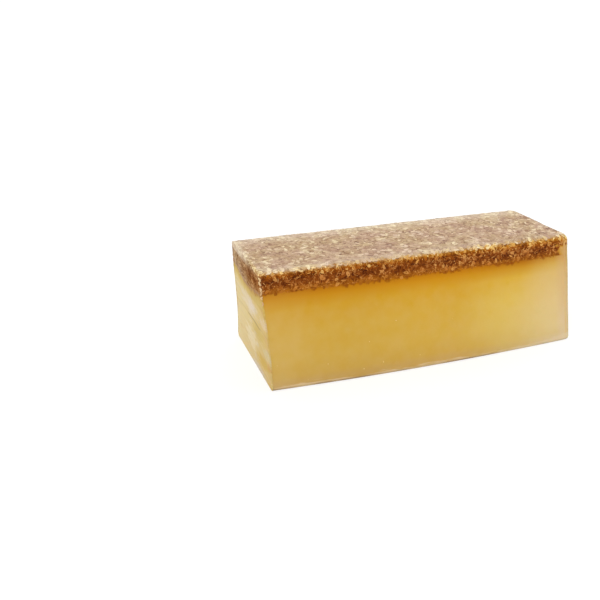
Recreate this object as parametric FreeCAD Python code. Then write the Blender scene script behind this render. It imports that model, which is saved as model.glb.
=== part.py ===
"""Soap loaf: clear honey-coloured soap with a layer of oats, cast in a tapered tray and cut across by hand.

The loaf stands the way it is turned out, so the tray's floor is its top and the tray's rim is its base. The tray is
flexible: its long sides lean out towards the rim and bulge there. The oats lie on the tray's floor, so they are the
loaf's top layer, and the clear soap poured over them is the base. The far end has the tray's form. The near end is a
knife cut, made after slices were taken off, that leans over at the top and is a little hollow.

Millimetres. +X runs from the cut end to the cast end, +Z is up, and the origin is at the middle of the loaf's base.
"""
import FreeCAD
import Part

import math
import os

from FreeCAD import Vector

# The tray, measured inside. Its rim is the loaf's base and its floor is the loaf's top.
loaf_height = 66.0
rim_length = 231.0
rim_width = 72.0
rim_bulge = 4.4
floor_bulge = 0.6
side_draft_deg = 5.4
end_draft_deg = 5.4
corner_radius = 6.0
floor_edge_radius = 4.2

# The scraped edge round the base, where the soap was level with the rim.
trimmed_edge = 1.2

# The knife cut. The hollow is deepest a third of the way up, as the formula in cut_face_x has it.
sliced_off_length = 37.0
cut_lean_deg = 2.8
cut_hollow = 0.9

# The oat layer and the uneven line where the oats end in the clear soap. The depth is at the walls, and the oats lie
# deeper by the sag along the middle.
oat_depth = 11.6
oat_sag = 4.0
oat_ripple = 0.7
oat_ripple_length = 160.0
oat_ripple_width = 46.0

# How far the cutting tools reach past the loaf, and the spacing of the points that their faces pass through.
tool_reach = 10.0
tool_spacing = 8.0


def tray_outline(length, width, bulge, height):
    """Closed outline of the tray at one height: straight ends and long sides that bulge as arcs."""
    half_length = length / 2
    half_width = width / 2
    near_right = Vector(half_length, -half_width, height)
    far_right = Vector(half_length, half_width, height)
    far_left = Vector(-half_length, half_width, height)
    near_left = Vector(-half_length, -half_width, height)
    near_middle = Vector(0, -half_width - bulge, height)
    far_middle = Vector(0, half_width + bulge, height)
    return Part.Wire([
        Part.Arc(near_left, near_middle, near_right).toShape(),
        Part.LineSegment(near_right, far_right).toShape(),
        Part.Arc(far_right, far_middle, far_left).toShape(),
        Part.LineSegment(far_left, near_left).toShape(),
    ])


def is_level(edge, height):
    """Whether an edge lies wholly at one height."""
    return all(abs(vertex.Z - height) < 1e-6 for vertex in edge.Vertexes)


def whole_casting():
    """The soap as it comes out of the tray, base down, before anything is cut off."""
    floor_length = rim_length - 2 * loaf_height * math.tan(math.radians(end_draft_deg))
    floor_width = rim_width - 2 * loaf_height * math.tan(math.radians(side_draft_deg))
    rim = tray_outline(rim_length, rim_width, rim_bulge, 0)
    floor = tray_outline(floor_length, floor_width, floor_bulge, loaf_height)
    sharp = Part.makeLoft([rim, floor], True, True)
    corners = [edge for edge in sharp.Edges if not is_level(edge, 0) and not is_level(edge, loaf_height)]
    rounded = sharp.makeFillet(corner_radius, corners)
    top_edges = [edge for edge in rounded.Edges if is_level(edge, loaf_height)]
    turned_out = rounded.makeFillet(floor_edge_radius, top_edges)
    base_edges = [edge for edge in turned_out.Edges if is_level(edge, 0)]
    return turned_out.makeChamfer(trimmed_edge, base_edges)


def steps(first, last):
    """Evenly spaced values from first to last, no further apart than tool_spacing."""
    count = math.ceil((last - first) / tool_spacing)
    return [first + (last - first) * step / count for step in range(count + 1)]


def smooth_face(point_at, first_values, second_values):
    """Smooth face through the points that point_at gives for each pair of values."""
    surface = Part.BSplineSurface()
    surface.interpolate([[point_at(first, second) for second in second_values] for first in first_values])
    return surface.toShape()


def cut_face_x(height):
    """Where the knife passed at a height: leaning out over the base, and hollow by cut_hollow a third of the way up."""
    share = height / loaf_height
    hollow = cut_hollow * 27 / 4 * share * (1 - share) ** 2
    return sliced_off_length - rim_length / 2 - height * math.tan(math.radians(cut_lean_deg)) + hollow


def sliced_off():
    """What the knife took away: everything from the cut to past the end of the tray."""
    side = rim_width / 2 + rim_bulge + tool_reach
    cut = smooth_face(
        lambda y, z: Vector(cut_face_x(z), y, z),
        steps(-side, side),
        steps(-tool_reach, loaf_height + tool_reach),
    )
    return cut.extrude(Vector(-rim_length, 0, 0))


def oat_underside_z(x, y):
    """Height where the oats end and the clear soap begins: lowest along the middle, and rippled both ways."""
    wall_height = loaf_height - oat_depth
    wall = rim_width / 2 - wall_height * math.tan(math.radians(side_draft_deg))
    sag = oat_sag * (1 - (y / wall) ** 2)
    along = math.sin(2 * math.pi * x / oat_ripple_length)
    across = math.cos(2 * math.pi * (y / oat_ripple_width + x / oat_ripple_length))
    return wall_height - sag + oat_ripple * (along + across) / 2


def oat_space():
    """Everything above the line where the oats end."""
    end = rim_length / 2 + tool_reach
    side = rim_width / 2 + rim_bulge + tool_reach
    underside = smooth_face(
        lambda x, y: Vector(x, y, oat_underside_z(x, y)),
        steps(-end, end),
        steps(-side, side),
    )
    return underside.extrude(Vector(0, 0, loaf_height))


def base_middle(shape):
    """The middle of the base of a shape's box."""
    box = shape.optimalBoundingBox(False, False)
    return Vector(box.Center.x, box.Center.y, box.ZMin)


def write_node(name, shape, origin):
    """Write one layer with the loaf's origin at the middle of its base."""
    placed = shape.Solids[0].translated(-origin)
    placed.exportStep(f"parts/{name}.step")
    print(name, "volume", round(placed.Volume / 1000, 1), "cm3", "valid", placed.isValid(), "solids", len(shape.Solids))


os.makedirs("parts", exist_ok=True)
loaf = whole_casting().cut(sliced_off())
origin = base_middle(loaf)
write_node("clear_soap_base", loaf.cut(oat_space()), origin)
write_node("oat_layer", loaf.common(oat_space()), origin)
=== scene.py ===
"""Looks of a clear honey soap loaf with an oat layer, built round its CAD frame.

The loaf stands as it is turned out of its tray. The clear soap is a rounded block with a soft cast relief
and the drag marks of a knife at its cut end. The oat layer is a second block that follows the same uneven
line, and it is set all over with single flakes that stand a hair proud. Lengths are in metres, angles in
radians and colours in linear light, where nothing else is said. A span is a pair of numbers: where a change
starts and where it ends, or the least and the most of something.
"""

import itertools
import logging
import math
import random
from collections.abc import Callable, Iterator
from dataclasses import dataclass, replace
from enum import Enum

import bmesh
import bpy
from bmesh.types import BMesh, BMVert
from mathutils import Matrix, Vector, noise
from mathutils.bvhtree import BVHTree


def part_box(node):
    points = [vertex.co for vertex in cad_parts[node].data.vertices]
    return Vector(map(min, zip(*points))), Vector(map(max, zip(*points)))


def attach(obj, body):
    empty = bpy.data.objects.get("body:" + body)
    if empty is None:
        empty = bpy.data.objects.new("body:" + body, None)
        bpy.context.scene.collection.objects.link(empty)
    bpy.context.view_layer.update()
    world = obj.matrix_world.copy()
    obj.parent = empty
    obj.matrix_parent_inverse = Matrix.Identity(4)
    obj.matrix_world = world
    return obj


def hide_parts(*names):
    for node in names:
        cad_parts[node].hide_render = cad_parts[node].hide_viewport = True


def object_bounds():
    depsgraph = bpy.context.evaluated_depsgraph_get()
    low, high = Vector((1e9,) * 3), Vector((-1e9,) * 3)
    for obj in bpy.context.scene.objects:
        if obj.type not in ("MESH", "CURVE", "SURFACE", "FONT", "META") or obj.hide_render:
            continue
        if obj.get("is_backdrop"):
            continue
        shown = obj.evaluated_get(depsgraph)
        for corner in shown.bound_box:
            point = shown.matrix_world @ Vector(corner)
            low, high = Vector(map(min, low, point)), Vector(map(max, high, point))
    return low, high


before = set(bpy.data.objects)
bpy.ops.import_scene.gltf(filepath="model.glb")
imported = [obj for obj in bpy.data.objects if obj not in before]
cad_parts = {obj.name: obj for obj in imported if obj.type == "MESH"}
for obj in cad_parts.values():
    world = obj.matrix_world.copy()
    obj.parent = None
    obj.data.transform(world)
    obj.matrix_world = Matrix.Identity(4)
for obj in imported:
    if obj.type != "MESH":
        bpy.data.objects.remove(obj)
cad_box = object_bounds()

MM = 0.001
TOUCH = 1e-6
BODY = "root"
UP = Vector((0.0, 0.0, 1.0))
SHARP = math.radians(38)

Colour = tuple[float, float, float, float]
Swatch = tuple[int, int, int]
Stops = dict[float, Swatch]
Span = tuple[float, float]
Triple = tuple[float, float, float]
Piece = bpy.types.Object
Material = bpy.types.Material
Socket = bpy.types.NodeSocket
Source = Socket | float | tuple[float, ...]
MarkLayers = dict["Mark", bmesh.types.BMLayerItem]

OPEN: Span = (-math.inf, math.inf)

log = logging.getLogger("soap_loaf")


def swatch(red: int, green: int, blue: int) -> Colour:
    """Colour in linear light from a paint swatch.

    Args:
        red: Red share of the swatch, 0 to 255.
        green: Green share of the swatch, 0 to 255.
        blue: Blue share of the swatch, 0 to 255.

    Returns:
        The colour as Blender's sockets take it, with an alpha of 1.
    """
    knee, slope = 0.04045, 12.92
    shares = [value / 255 for value in (red, green, blue)]
    light = [s / slope if s <= knee else ((s + 0.055) / 1.055) ** 2.4 for s in shares]
    return (light[0], light[1], light[2], 1.0)


def between(low: float, high: float, share: float) -> float:
    """Value that lies a share of the way from low to high."""
    return low + (high - low) * share


def eased(value: float, start: float, end: float) -> float:
    """Smooth step of value, from 0 at start to 1 at end."""
    share = min(max((value - start) / (end - start), 0.0), 1.0)
    return share * share * (3 - 2 * share)


class Slot(str, Enum):
    """Material slots of the record."""

    CLEAR = "clear_soap"
    OATS = "oat_soap"


class Mark(str, Enum):
    """Values that a mesh carries from point to point for its finish to read."""

    BELOW_OATS = "below_oats"  # depth under the oat line, in metres
    CORNER = "corner"          # way round a cast corner: 0 on the long wall, 1 on the end wall
    # On the cut, frost also paints light: a painted sheen low in and just under the oat band, and a painted
    # highlight along the rim.
    FROST = "frost"            # how dry and pale the skin is: 0 on a wet wall, 1 on the top
    CLEAR = "clear"            # how free of oats the skin is, as in the strip up each cast corner
    DRAG = "drag"              # depth of the knife's drag lines, 0 to 1
    TONE = "tone"              # a flake's own shade, 0 dark to 1 pale
    HUE = "hue"                # a flake's own cast, 0 pinkish to 1 straw yellow


class Skin(Enum):
    """Material places on a block, by how the face was made."""

    CAST = 0
    CUT = 1


@dataclass(frozen=True)
class LoafForm:
    """Outline of the casting, its oat line and its knife cut, by the same formulas as the CAD model.

    The oat line's ripple dies away within a share of the oats' depth. The last fields say how the oats thin
    out round the cast corners, under the top rim, with a ragged edge.
    """

    middle_x: float
    height: float
    rim_length: float = 231 * MM
    rim_width: float = 72 * MM
    rim_bulge: float = 4.4 * MM
    floor_bulge: float = 0.6 * MM
    draft: float = math.radians(5.4)
    corner_radius: float = 6.0 * MM
    floor_edge_radius: float = 4.2 * MM
    trimmed_edge: float = 1.2 * MM
    sliced_off: float = 37 * MM
    cut_lean: float = math.radians(2.8)
    cut_hollow: float = 0.9 * MM
    oat_depth: float = 11.6 * MM
    oat_sag: float = 4.0 * MM
    oat_ripple: float = 0.7 * MM
    ripple_length: float = 160 * MM
    ripple_width: float = 46 * MM
    bent_share: float = 0.8
    thin_span: Span = (-4.5 * MM, 0.0)
    clear_span: Span = (3.0 * MM, 8.5 * MM)
    ragged_depth: float = 4.0 * MM
    ragged_length: float = 3.2 * MM

    @classmethod
    def from_frame(cls) -> "LoafForm":
        """Form placed from the CAD box of the oat layer, whose lowest x is the cut face's top edge.

        Returns:
            The form.
        """
        low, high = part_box("oat_layer")
        top_cut = cls.sliced_off - cls.rim_length / 2 - high.z * math.tan(cls.cut_lean)
        return cls(middle_x=low.x - top_cut, height=high.z)

    @property
    def oat_level(self) -> float:
        """Height at which the oats end at the walls, without the ripple."""
        return self.height - self.oat_depth

    @property
    def low(self) -> Vector:
        """Lowest corner of the straight block that is bent into the loaf."""
        return Vector((self.cut_x(self.height / 2), -self.half_width(self.middle_x, self.height / 2), 0.0))

    @property
    def high(self) -> Vector:
        """Highest corner of the straight block that is bent into the loaf."""
        return Vector((self.end_x(self.height / 2), -self.low.y, self.height))

    def end_x(self, z: float) -> float:
        """Place of the cast end wall at a height."""
        return self.middle_x + self.rim_length / 2 - z * math.tan(self.draft)

    def cut_x(self, z: float) -> float:
        """Place of the knife cut, which leans over at the top and is a little hollow.

        Args:
            z: A height.

        Returns:
            Where the cut is at that height.
        """
        share = z / self.height
        # The factor of 27 / 4 makes the hollow reach cut_hollow where it is deepest, a third of the way up.
        hollow = self.cut_hollow * 27 / 4 * share * (1 - share) ** 2
        return self.middle_x + self.sliced_off - self.rim_length / 2 - z * math.tan(self.cut_lean) + hollow

    def half_width(self, x: float, z: float) -> float:
        """Half the loaf's width. The walls lean out and bulge towards the base.

        Args:
            x: A place along the loaf.
            z: A height.

        Returns:
            The distance from the middle to a wall.
        """
        along = (x - self.middle_x) / (self.end_x(z) - self.middle_x)
        bulge = between(self.rim_bulge, self.floor_bulge, z / self.height)
        return self.rim_width / 2 - z * math.tan(self.draft) + bulge * (1 - along * along)

    def oat_line(self, x: float, y: float) -> float:
        """Height at which the oats end in the clear soap: lowest along the middle, and rippled both ways.

        Args:
            x: A place along the loaf.
            y: A place across it.

        Returns:
            The height there.
        """
        along = (x - self.middle_x) / self.ripple_length
        wall = self.rim_width / 2 - self.oat_level * math.tan(self.draft)
        sag = self.oat_sag * (1 - (y / wall) ** 2)
        wave = math.sin(math.tau * along) + math.cos(math.tau * (y / self.ripple_width + along))
        return self.oat_level - sag + self.oat_ripple * wave / 2

    def ragged(self, point: Vector) -> float:
        """Unevenness of the oats' borders at a point, in metres."""
        return self.ragged_depth * noise.noise(point / self.ragged_length)

    def thin_share(self, point: Vector) -> float:
        """How thinly the oats lie in the skin.

        Args:
            point: A point of the skin.

        Returns:
            0 along the walls and 1 round the cast corners.
        """
        out_x = point.x - (self.end_x(point.z) - self.corner_radius)
        out_y = abs(point.y) - (self.half_width(point.x, point.z) - self.corner_radius)
        return eased(min(out_x, out_y) + self.ragged(point), *self.thin_span)

    def clear_share(self, point: Vector) -> float:
        """How free of oats the skin is at a point: wholly so round the cast corners, under the top rim."""
        return self.thin_share(point) * eased(self.height - point.z + self.ragged(point), *self.clear_span)

    def place(self, point: Vector) -> Vector:
        """Moves a point of the straight block to its place on the loaf.

        Args:
            point: A point in or on the straight block.

        Returns:
            The same point on the tapered, bulging loaf with its rippled oat line.
        """
        low, high = self.low, self.high
        along = (point.x - low.x) / (high.x - low.x)
        x = between(self.cut_x(point.z), self.end_x(point.z), along)
        y = point.y / high.y * self.half_width(x, point.z)
        near = 1 - eased(abs(point.z - self.oat_level), 0.0, self.bent_share * self.oat_depth)
        z = point.z + (self.oat_line(x, y) - self.oat_level) * near
        return Vector((x, y, z))


def all_parts(mesh: BMesh) -> list:
    """Every corner, edge and face of a mesh, as the operators take them."""
    return [*mesh.verts, *mesh.edges, *mesh.faces]


def cut_parts(mesh: BMesh) -> list:
    """Faces that the knife made, with their edges and corners.

    Args:
        mesh: A block whose faces are marked.

    Returns:
        The parts, in an order that never changes.
    """
    faces = [face for face in mesh.faces if face.material_index == Skin.CUT.value]
    edges = dict.fromkeys(edge for face in faces for edge in face.edges)
    corners = dict.fromkeys(vert for face in faces for vert in face.verts)
    return [*corners, *edges, *faces]


@dataclass(frozen=True)
class CastBlock:
    """Straight block with the tray's rounded corners and edges, ruled into faces small enough to bend."""

    form: LoafForm
    spacing: float
    cut_spacing: float
    corner_steps: int = 8
    edge_steps: int = 6
    trim_steps: int = 2

    def rounded(self) -> BMesh:
        """Whole block with the far corners, the tray-floor edges and the scraped rim edges rounded.

        Returns:
            The block.
        """
        low, high = self.form.low, self.form.high
        mesh = bmesh.new()
        bmesh.ops.create_cube(mesh, size=1.0)
        bmesh.ops.scale(mesh, vec=high - low, verts=mesh.verts)
        bmesh.ops.translate(mesh, vec=(low + high) / 2, verts=mesh.verts)

        def far_corner(a: Vector, b: Vector) -> bool:
            """True for the two upright edges at the cast end."""
            return min(a.x, b.x) > high.x - TOUCH and abs(a.z - b.z) > TOUCH

        def level(a: Vector, b: Vector, height: float) -> bool:
            """True for an edge at one height that the knife didn't make."""
            at_height = max(abs(a.z - height), abs(b.z - height)) < TOUCH
            return at_height and max(a.x, b.x) > low.x + TOUCH

        self.bevel(mesh, far_corner, self.form.corner_radius, self.corner_steps)
        self.bevel(mesh, lambda a, b: level(a, b, high.z), self.form.floor_edge_radius, self.edge_steps)
        self.bevel(mesh, lambda a, b: level(a, b, low.z), self.form.trimmed_edge, self.trim_steps)
        return mesh

    @staticmethod
    def bevel(mesh: BMesh, wanted: Callable[[Vector, Vector], bool], radius: float, steps: int) -> None:
        """Rounds some edges of the block.

        Args:
            mesh: The block.
            wanted: Test for the two ends of an edge.
            radius: Radius of the rounding.
            steps: Number of faces that it takes.
        """
        edges = [edge for edge in mesh.edges if wanted(edge.verts[0].co, edge.verts[1].co)]
        bmesh.ops.bevel(
            mesh, geom=edges, offset=radius, segments=steps, profile=0.5, affect="EDGES", material=-1,
            clamp_overlap=True,
        )

    def part(self, above: bool) -> BMesh:
        """Part of the block above or below the oat line, closed, ruled into small faces, and still straight.

        Args:
            above: True for the oat layer, False for the clear soap.

        Returns:
            The part, with the knife's faces marked as Skin.CUT.
        """
        mesh = self.rounded()
        made = bmesh.ops.bisect_plane(
            mesh, geom=all_parts(mesh), plane_co=UP * self.form.oat_level, plane_no=UP, clear_inner=above,
            clear_outer=not above,
        )
        rim = [edge for edge in made["geom_cut"] if isinstance(edge, bmesh.types.BMEdge)]
        bmesh.ops.contextual_create(mesh, geom=rim)
        for axis in range(3):
            self.rule(mesh, axis, self.spacing, all_parts)
        for face in mesh.faces:
            if max(vert.co.x for vert in face.verts) < self.form.low.x + TOUCH:
                face.material_index = Skin.CUT.value
        for axis in (1, 2):
            self.rule(mesh, axis, self.cut_spacing, cut_parts)
        bmesh.ops.recalc_face_normals(mesh, faces=mesh.faces)
        return mesh

    def rule(self, mesh: BMesh, axis: int, spacing: float, pick: Callable[[BMesh], list]) -> None:
        """Cuts faces along evenly spaced planes across one axis.

        Args:
            mesh: The block.
            axis: 0, 1 or 2 for planes across X, Y or Z.
            spacing: Distance from plane to plane.
            pick: Picks what to cut.
        """
        low, high = self.form.low[axis], self.form.high[axis]
        count = round((high - low) / spacing)
        normal = Vector((0.0, 0.0, 0.0))
        normal[axis] = 1.0
        for step in range(1, count):
            place = normal * between(low, high, step / count)
            bmesh.ops.bisect_plane(mesh, geom=pick(mesh), dist=TOUCH, plane_co=place, plane_no=normal)

    def corner_share(self, point: Vector) -> float:
        """Way round a far corner of the straight block.

        Args:
            point: A point of the block.

        Returns:
            0 on the long wall, 1 on the end wall, and in between round the corner.
        """
        radius = self.form.corner_radius
        out_x = point.x - (self.form.high.x - radius)
        out_y = abs(point.y) - (self.form.high.y - radius)
        if out_x <= 0:
            return 0.0
        return 1.0 if out_y <= 0 else math.atan2(out_x, out_y) / (math.pi / 2)


@dataclass(frozen=True)
class DragLine:
    """One groove that the blade scored across the cut face, nearly level."""

    height: float
    slope: float
    width: float
    depth: float

    def at(self, y: float, z: float) -> float:
        """Depth of the groove at a point of the cut face, from 0 to the line's own depth."""
        off = (z - self.height - self.slope * y) / self.width
        return self.depth * math.exp(-off * off)


@dataclass(frozen=True)
class Relief:
    """Small unevenness of the loaf's faces, as depths out of or into the face.

    The two places are where in the noise a pattern is taken from, so that none repeats another.
    """

    swell: float
    swell_length: float
    lump: float
    lump_length: float
    chatter: float = 0.10 * MM
    chatter_width: float = 55 * MM
    chatter_height: float = 3.2 * MM
    groove: float = 0.28 * MM
    calm: float = 1.5 * MM
    lump_place: Triple = (7.0, 3.0, 1.0)
    chatter_place: float = 3.0
    lines: tuple[DragLine, ...] = (
        DragLine(44.0 * MM, -0.02, 0.8 * MM, 0.4),
        DragLine(36.5 * MM, 0.05, 0.9 * MM, 0.6),
        DragLine(28.5 * MM, -0.01, 0.7 * MM, 1.0),
        DragLine(20.5 * MM, 0.07, 1.0 * MM, 0.5),
        DragLine(12.0 * MM, 0.03, 0.9 * MM, 0.5),
    )

    def cast(self, point: Vector, to_oats: float) -> float:
        """Height of a cast face's relief, which dies away at the base and at the oat line, where layers meet.

        Args:
            point: A point of the face.
            to_oats: How far it is under the oat line.

        Returns:
            How far the face stands out there.
        """
        swell = noise.noise(point / self.swell_length) * self.swell
        lump = noise.noise(point / self.lump_length + Vector(self.lump_place)) * self.lump
        return (swell + lump) * eased(abs(to_oats), 0.0, self.calm) * eased(point.z, 0.0, self.calm)

    def drag(self, point: Vector) -> float:
        """Depth of the drag lines on the cut face, 0 to 1."""
        return min(1.0, sum(line.at(point.y, point.z) for line in self.lines))

    def cut(self, point: Vector) -> float:
        """Height of the cut face's relief: the blade's chatter and its drag lines."""
        wave = Vector((self.chatter_place, point.y / self.chatter_width, point.z / self.chatter_height))
        return noise.noise(wave) * self.chatter - self.drag(point) * self.groove


def dressed(name: str, mesh: BMesh, finishes: list[Material], slot: Slot) -> Piece:
    """Makes a piece from a mesh and sets it on the loaf.

    Args:
        name: The piece's name.
        mesh: Its finished mesh, which is freed.
        finishes: Its materials, in the order of its material places.
        slot: Not used.

    Returns:
        The piece, which rides on the loaf's only body.
    """
    data = bpy.data.meshes.new(name)
    mesh.to_mesh(data)
    mesh.free()
    for finish in finishes:
        data.materials.append(finish)
    data.shade_smooth()
    data.set_sharp_from_angle(angle=SHARP)
    piece = bpy.data.objects.new(name, data)
    bpy.context.scene.collection.objects.link(piece)
    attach(piece, BODY)
    return piece


@dataclass(frozen=True)
class Frost:
    """How dry and pale the skin is: the top most, then the cut's rim and far side, the walls not. On the cut
    this is partly the knife's frosting and partly painted light: a painted sheen low in and just under the
    oat band, and a painted highlight along the rim.

    The spans of the cut are places across it for the far side and for the rim, and depths under the top for
    the foot and for the rim.
    """

    top_tilt: Span = (0.55, 0.97)
    least: float = 0.10
    far: float = 0.62
    far_span: Span = (-18 * MM, 26 * MM)
    # Painted sheen low in and just under the cut's oat band.
    foot: float = 0.28
    foot_span: Span = (8 * MM, 13 * MM)
    # Painted highlight along the cut's top rim.
    rim: Span = (0.15, 0.85)
    rim_across: Span = (-36 * MM, 0.0)
    rim_depth: Span = (5.5 * MM, 2.0 * MM)

    def on_top(self, vert: BMVert) -> float:
        """Dryness of a cast face, by how far it faces up."""
        return eased(vert.normal.z, *self.top_tilt)

    def on_cut(self, vert: BMVert, top: float) -> float:
        """Dryness of the cut face.

        Args:
            vert: A corner of the cut face.
            top: Height of the loaf.

        Returns:
            The dryness there, 0 to 1.
        """
        far = self.far * eased(vert.co.y, *self.far_span)
        # Painted sheen low in and just under the cut's oat band.
        foot = self.foot * eased(top - vert.co.z, *self.foot_span)
        # Painted highlight along the cut's top rim.
        rim = eased(vert.co.z, top - self.rim_depth[0], top - self.rim_depth[1])
        rim *= between(*self.rim, eased(vert.co.y, *self.rim_across))
        return min(1.0, self.least + far + foot + rim)


@dataclass(frozen=True)
class Layer:
    """One poured layer of the loaf: a block with its relief and its two finishes."""

    MARKS = (Mark.BELOW_OATS, Mark.CORNER, Mark.FROST, Mark.DRAG, Mark.CLEAR)

    form: LoafForm
    name: str
    node: str
    above: bool
    slot: Slot
    relief: Relief
    spacing: float
    cut_spacing: float
    frost: Frost = Frost()
    thin_tint: float = 0.30

    def build(self, finishes: list[Material]) -> Piece:
        """Builds the layer in place of its CAD node, which it hides.

        Args:
            finishes: Materials of the cast and of the cut faces.

        Returns:
            The finished piece.
        """
        block = CastBlock(self.form, self.spacing, self.cut_spacing)
        mesh = block.part(self.above)
        marks = {mark: mesh.verts.layers.float.new(mark.value) for mark in self.MARKS}
        on_cut = {vert for face in mesh.faces if face.material_index == Skin.CUT.value for vert in face.verts}
        for vert in mesh.verts:
            vert[marks[Mark.CORNER]] = block.corner_share(vert.co)
            vert.co = self.form.place(vert.co)
        mesh.normal_update()
        moves = [self.mark(vert, vert in on_cut, marks) for vert in mesh.verts]
        for vert, move in zip(mesh.verts, moves):
            vert.co += move
        piece = dressed(self.name, mesh, finishes, self.slot)
        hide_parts(self.node)
        return piece

    def mark(self, vert: BMVert, on_cut: bool, marks: MarkLayers) -> Vector:
        """Gives a corner of the block its marks.

        Args:
            vert: The corner, in its place on the loaf.
            on_cut: Whether it lies on the cut face.
            marks: The mesh's layers for the marks.

        Returns:
            How far the relief will move it.
        """
        to_oats = self.form.oat_line(vert.co.x, vert.co.y) - vert.co.z
        vert[marks[Mark.BELOW_OATS]] = to_oats
        thin = self.thin_tint * self.form.thin_share(vert.co)
        vert[marks[Mark.CLEAR]] = max(thin, self.form.clear_share(vert.co))
        if on_cut:
            vert[marks[Mark.FROST]] = self.frost.on_cut(vert, self.form.height)
            vert[marks[Mark.DRAG]] = self.relief.drag(vert.co)
            return Vector((-1.0, 0.0, 0.0)) * self.relief.cut(vert.co)
        vert[marks[Mark.FROST]] = self.frost.on_top(vert) if self.above else 0.0
        return Vector() if abs(to_oats) < TOUCH else vert.normal * self.relief.cast(vert.co, to_oats)


def rings(data: bpy.types.Mesh) -> list[tuple[list[int], bpy.types.MeshPolygon]]:
    """Faces with their corners, in an order that never changes, so that the dice always fall alike.

    Args:
        data: A finished piece's mesh.

    Returns:
        Each face after the numbers of its corners, which start from its lowest.
    """
    found = []
    for face in data.polygons:
        ring = list(face.vertices)
        first = ring.index(min(ring))
        found.append((ring[first:] + ring[:first], face))
    return sorted(found, key=lambda pair: pair[0])


@dataclass(frozen=True)
class Seat:
    """A place on the loaf's skin where a small part sits."""

    point: Vector
    normal: Vector
    frost: float


@dataclass(frozen=True)
class Tray:
    """What pressed the flakes flat: the tray's walls and floor, and later the knife."""

    form: LoafForm
    skin: BVHTree

    @classmethod
    def fitted(cls, form: LoafForm, layers: list[Piece]) -> "Tray":
        """Tray that fits round the finished layers, but not in between them.

        Args:
            form: The loaf's outline.
            layers: The two poured layers.

        Returns:
            The tray.
        """
        corners, faces = [], []
        for layer in layers:
            first = len(corners)
            corners += [vert.co.copy() for vert in layer.data.vertices]
            below = layer.data.attributes[Mark.BELOW_OATS.value].data
            for ring, _ in rings(layer.data):
                if max(abs(below[index].value) for index in ring) > TOUCH:
                    faces.append([first + index for index in ring])
        return cls(form, BVHTree.FromPolygons(corners, faces))

    def pressed(self, point: Vector, proud: float) -> Vector:
        """Point pushed back until it stands no prouder than a limit above the skin and the knife cut.

        Args:
            point: A point of a flake.
            proud: How far it may stand out of the skin.

        Returns:
            The point, moved only if it stood too far out.
        """
        cut = self.form.cut_x(point.z) - proud
        held = Vector((max(point.x, cut), point.y, min(point.z, self.form.height + proud)))
        place, normal, _, _ = self.skin.find_nearest(held)
        out = (held - place).dot(normal) - proud
        return held - normal * out if out > 0 else held


@dataclass(frozen=True)
class Zone:
    """Part of a layer's skin, by what made it, how far it faces up, and where it lies.

    Each span holds what lies between its two limits: the upward share of a face's normal, its depth under the
    top, its place along the loaf, its depth under the oat line, and how free of oats it is.
    """

    form: LoafForm
    skin: Skin | None
    facing: Span = OPEN
    depth: Span = OPEN
    along: Span = OPEN
    under_oats: Span = OPEN
    clear: Span = OPEN

    def holds(self, face: bpy.types.MeshPolygon) -> bool:
        """True for a face of the zone."""
        made_so = self.skin is None or face.material_index == self.skin.value
        return made_so and all(low < value < high for value, (low, high) in self.limits(face))

    def limits(self, face: bpy.types.MeshPolygon) -> Iterator[tuple[float, Span]]:
        """What the face is measured by, the quickest first.

        Args:
            face: A face of a layer.

        Returns:
            Each of its measures with the span that has to hold it.
        """
        centre = face.center
        yield face.normal.z, self.facing
        yield self.form.height - centre.z, self.depth
        yield centre.x, self.along
        yield self.form.oat_line(centre.x, centre.y) - centre.z, self.under_oats
        yield self.form.clear_share(centre), self.clear


@dataclass(frozen=True)
class SkinField:
    """Faces of a finished layer that small parts are strewn over."""

    layer: Piece
    zone: Zone

    def strew(self, count: int, spacing: float, dice: random.Random) -> list[Seat]:
        """Seats spread evenly over the zone.

        Args:
            count: How many seats to try for.
            spacing: Least distance from seat to seat.
            dice: Seeded source of chance.

        Returns:
            The seats, fewer than count where the faces are full.
        """
        data = self.layer.data
        faces = [(ring, face) for ring, face in rings(data) if self.zone.holds(face)]
        areas = [face.area for _, face in faces]
        frost = data.attributes[Mark.FROST.value].data
        taken: dict[tuple[int, ...], list[Vector]] = {}
        seats = []
        for ring, face in dice.choices(faces, weights=areas, k=count):
            corners = [data.vertices[index].co for index in ring]
            point = self.inside(corners, dice)
            cell = tuple(int(value // spacing) for value in point)
            if any((point - other).length < spacing for other in self.near(taken, cell)):
                continue
            taken.setdefault(cell, []).append(point)
            pale = sum(frost[index].value for index in ring) / len(ring)
            seats.append(Seat(point, face.normal.copy(), pale))
        return seats

    @staticmethod
    def inside(corners: list[Vector], dice: random.Random) -> Vector:
        """Chance point inside a small convex face.

        Args:
            corners: The face's corners.
            dice: Seeded source of chance.

        Returns:
            The point.
        """
        shares = [dice.expovariate(1.0) for _ in corners]
        whole = sum(shares)
        return sum((corner * (share / whole) for corner, share in zip(corners, shares)), Vector())

    @staticmethod
    def near(taken: dict[tuple[int, ...], list[Vector]], cell: tuple[int, ...]) -> Iterator[Vector]:
        """Seats in a cell and in the cells round it."""
        for step in itertools.product((-1, 0, 1), repeat=3):
            yield from taken.get(tuple(map(sum, zip(cell, step))), ())


@dataclass(frozen=True)
class FlakeCut:
    """One way that a rolled oat meets the skin, with its least and greatest sizes."""

    length: Span
    width: Span
    depth: float
    sink: float
    curl: float
    ragged: float
    sides: int


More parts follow.
